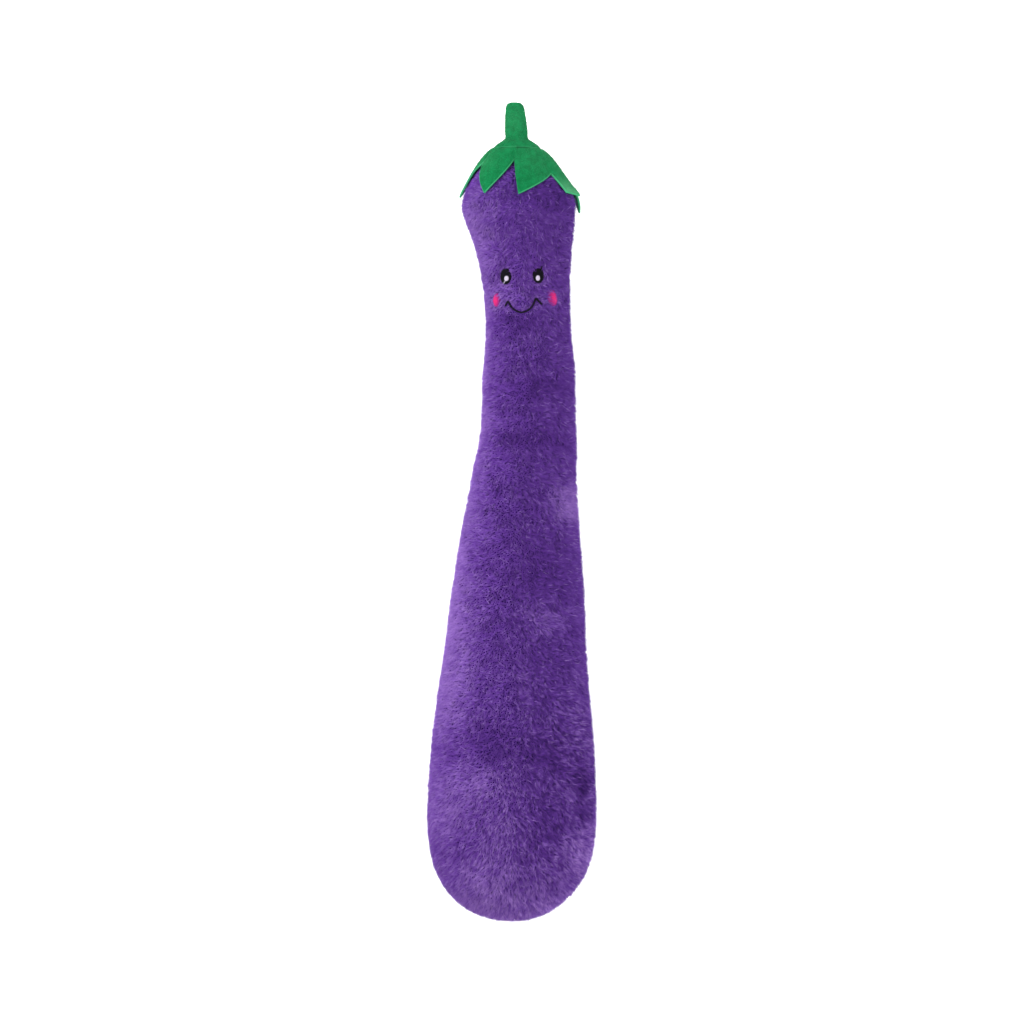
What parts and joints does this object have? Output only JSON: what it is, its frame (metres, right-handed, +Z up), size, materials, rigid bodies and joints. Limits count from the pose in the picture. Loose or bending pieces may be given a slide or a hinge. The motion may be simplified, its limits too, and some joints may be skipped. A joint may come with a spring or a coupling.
{
  "type": "plush eggplant toy",
  "caption": "Long stuffed plush toy shaped like an eggplant, with a purple pile body, a green felt calyx and stem, and an embroidered smiling face.",
  "frame": {"origin": "on the surface that the toy lies on, below the middle of its outline", "axes": "+Y along the toy towards its stem, +Z up out of its face, +X to the viewer's right with the stem at the top"},
  "size_m": [0.0932, 0.4494, 0.067],
  "materials": {
    "purple_plush": "matte",
    "fibre_fill": "matte",
    "green_felt": "matte",
    "black_thread": "satin",
    "white_thread": "satin",
    "pink_thread": "satin"
  },
  "bodies": {
    "root": {"body_front_panel": "purple_plush", "body_back_panel": "purple_plush", "body_stuffing": "fibre_fill", "calyx": "green_felt", "stem_cover": "green_felt", "stem_stuffing": "fibre_fill", "eye_left": "black_thread", "eye_right": "black_thread", "eye_highlight_left": "white_thread", "eye_highlight_right": "white_thread", "mouth": "black_thread", "cheek_left": "pink_thread", "cheek_right": "pink_thread"}
  },
  "joints": []
}
